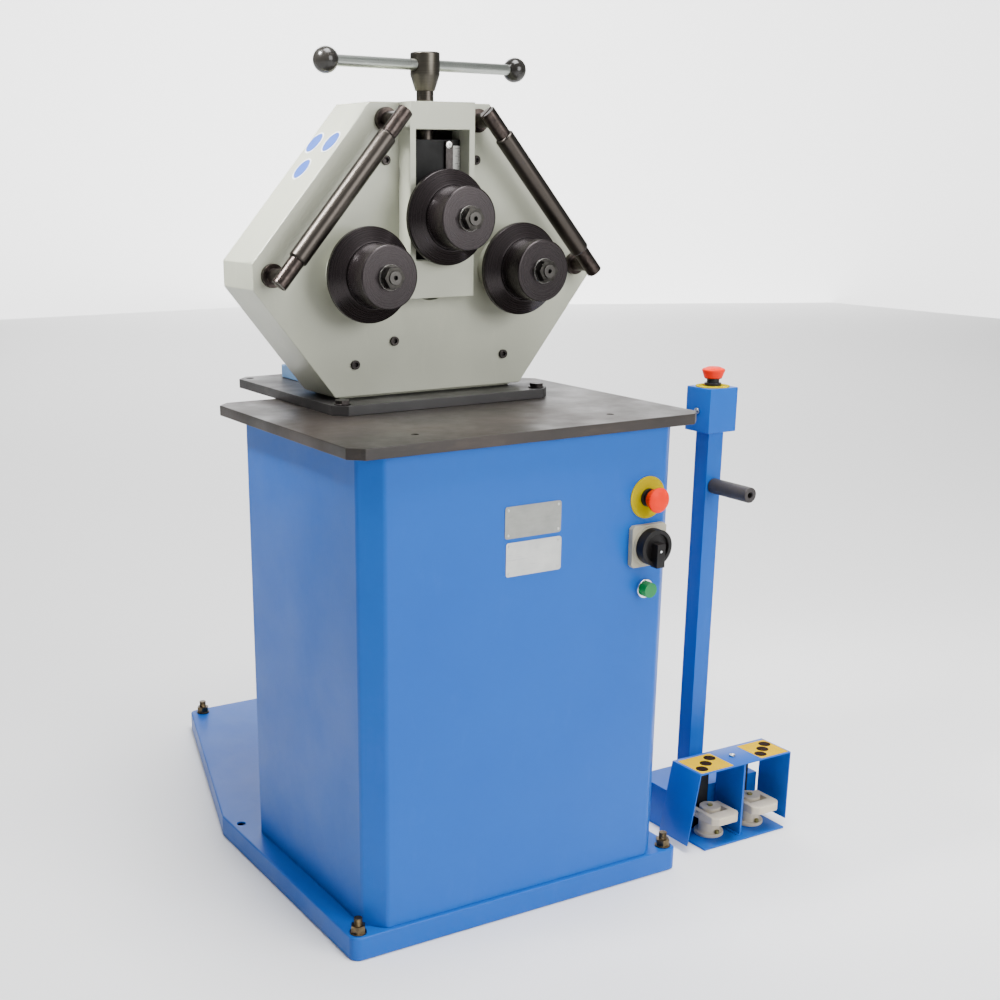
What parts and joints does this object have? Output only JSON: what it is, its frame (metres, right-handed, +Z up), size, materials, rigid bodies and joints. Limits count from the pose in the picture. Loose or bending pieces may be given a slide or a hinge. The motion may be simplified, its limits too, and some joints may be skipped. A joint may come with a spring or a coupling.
{
  "type": "angle roll bender",
  "caption": "Powered roll bender for angle and section steel on a sheet-metal cabinet, with a screw-set top roll, side guides and a separate foot control console.",
  "frame": {"origin": "on the floor, on the machine's centre plane, at the middle of the base pan's front flange", "axes": "+X to the right seen from the front, +Y to the back, +Z up"},
  "size_m": [0.82, 0.9613, 1.1865],
  "materials": {
    "blue_paint": "semi-gloss powder coat",
    "yellow_zinc": "yellow passivated zinc",
    "zinc_steel": "zinc plated",
    "black_plastic": "moulded",
    "dark_plate": "blackened, oiled",
    "dark_bolt": "black oxide",
    "grey_paint": "satin paint",
    "bronze": "turned",
    "drive_paint": "satin paint on castings",
    "black_paint": "satin paint",
    "oxide_steel": "turned, brown-black oxide",
    "shaft_steel": "ground",
    "bright_steel": "polished",
    "black_gloss": "glossy",
    "yellow_plastic": "printed plate",
    "red_plastic": "glossy",
    "beige_plastic": "moulded",
    "white_strip": "printed strip",
    "chrome": "polished",
    "green_lens": "ribbed lens",
    "grip_rubber": "matt",
    "cream_plastic": "moulded"
  },
  "bodies": {
    "stand": {"base_pan": "blue_paint", "anchor_studs": "yellow_zinc", "cabinet_shell": "blue_paint", "rear_panel": "blue_paint", "cover_screws": "zinc_steel", "cable_glands": "black_plastic", "table_plate": "dark_plate", "head_plate": "dark_plate", "head_plate_bolts": "dark_bolt", "head_housing": "grey_paint", "head_back_plate": "grey_paint", "slide_channel": "grey_paint", "face_screws": "dark_bolt", "screw_bush": "bronze", "bearing_housings": "grey_paint", "gear_reducer": "drive_paint", "drive_motor": "drive_paint", "fan_cover": "black_paint", "guide_posts": "oxide_steel", "guide_rods": "oxide_steel", "stop_rings": "yellow_plastic", "stop_collars": "black_plastic", "switch_plate": "beige_plastic", "lamp_bezel": "chrome", "lamp_lens": "green_lens", "console_base": "blue_paint", "console_column": "blue_paint", "console_box": "blue_paint", "console_grip": "grip_rubber", "pedal_hood": "blue_paint", "pedal_divider": "blue_paint", "pedal_floor": "blue_paint", "pedal_bases": "cream_plastic", "pedal_switches": "black_plastic"},
    "handle": {"lead_screw": "shaft_steel", "handle_hub": "oxide_steel", "handle_bar": "bright_steel", "ball_knobs": "black_gloss"},
    "slide": {"slide_block": "dark_plate", "slide_keeper": "dark_plate", "scale_strip": "white_strip"},
    "top_roll_body": {"top_shaft": "shaft_steel", "top_roll": "oxide_steel", "top_fasteners": "zinc_steel"},
    "left_roll_body": {"left_shaft": "shaft_steel", "left_roll": "oxide_steel", "left_fasteners": "zinc_steel", "left_gear": "shaft_steel"},
    "right_roll_body": {"right_shaft": "shaft_steel", "right_roll": "oxide_steel", "right_fasteners": "zinc_steel", "right_gear": "shaft_steel"},
    "pinion_body": {"drive_pinion": "shaft_steel"},
    "left_sleeve_body": {"left_sleeve": "oxide_steel"},
    "right_sleeve_body": {"right_sleeve": "oxide_steel"},
    "front_stop": {"front_stop_button": "red_plastic"},
    "console_stop": {"console_stop_button": "red_plastic"},
    "switch": {"switch_knob": "black_plastic"},
    "left_pedal_body": {"left_pedal": "cream_plastic"},
    "right_pedal_body": {"right_pedal": "cream_plastic"}
  },
  "joints": [
    {"name": "left_roll_spin", "type": "hinge", "parent": "stand", "child": "left_roll_body", "pos_m": [-0.1235, 0.2, 0.896], "axis": [0, -1, 0], "continuous": true},
    {"name": "right_roll_spin", "type": "hinge", "parent": "stand", "child": "right_roll_body", "pos_m": [0.1235, 0.2, 0.896], "axis": [0, -1, 0], "continuous": true},
    {"name": "pinion_spin", "type": "hinge", "parent": "stand", "child": "pinion_body", "pos_m": [0, 0.35, 0.8494], "axis": [0, -1, 0], "continuous": true},
    {"name": "handle_spin", "type": "hinge", "parent": "stand", "child": "handle", "pos_m": [0, 0.288, 1.1], "axis": [0, 0, 1], "range_deg": [-2520, 2700]},
    {"name": "slide_travel", "type": "slide", "parent": "stand", "child": "slide", "axis": [0, 0, 1], "range_m": [-0.02805, 0.03005]},
    {"name": "top_roll_spin", "type": "hinge", "parent": "slide", "child": "top_roll_body", "pos_m": [0, 0.2, 0.969], "axis": [0, -1, 0], "continuous": true},
    {"name": "left_sleeve_spin", "type": "hinge", "parent": "stand", "child": "left_sleeve_body", "pos_m": [-0.0645, 0.229, 1.108], "axis": [-0.6591, 0, -0.752], "continuous": true},
    {"name": "right_sleeve_spin", "type": "hinge", "parent": "stand", "child": "right_sleeve_body", "pos_m": [0.0645, 0.229, 1.108], "axis": [0.6591, 0, -0.752], "continuous": true},
    {"name": "front_stop_press", "type": "slide", "parent": "stand", "child": "front_stop", "axis": [0, 1, 0], "range_m": [0, 0.005], "stiffness_N_per_m": 600, "springref_m": -0.008},
    {"name": "console_stop_press", "type": "slide", "parent": "stand", "child": "console_stop", "axis": [0, 0, -1], "range_m": [0, 0.005], "stiffness_N_per_m": 600, "springref_m": -0.008},
    {"name": "switch_turn", "type": "hinge", "parent": "stand", "child": "switch", "pos_m": [0.194, 0, 0.527], "axis": [0, 1, 0], "range_deg": [0, 90]},
    {"name": "left_pedal_press", "type": "hinge", "parent": "stand", "child": "left_pedal_body", "pos_m": [0.405, 0.065, 0.042], "axis": [1, 0, 0], "range_deg": [0, 8], "stiffness_Nm_per_rad": 1.5, "springref_deg": -14.32},
    {"name": "right_pedal_press", "type": "hinge", "parent": "stand", "child": "right_pedal_body", "pos_m": [0.49, 0.065, 0.042], "axis": [1, 0, 0], "range_deg": [0, 8], "stiffness_Nm_per_rad": 1.5, "springref_deg": -14.32}
  ],
  "couplings": [
    {"joint": "right_roll_spin", "follows": "left_roll_spin", "ratio": 1},
    {"joint": "pinion_spin", "follows": "left_roll_spin", "ratio": -1.5385},
    {"joint": "slide_travel", "follows": "handle_spin", "m_per_rad": 0.00063662}
  ]
}
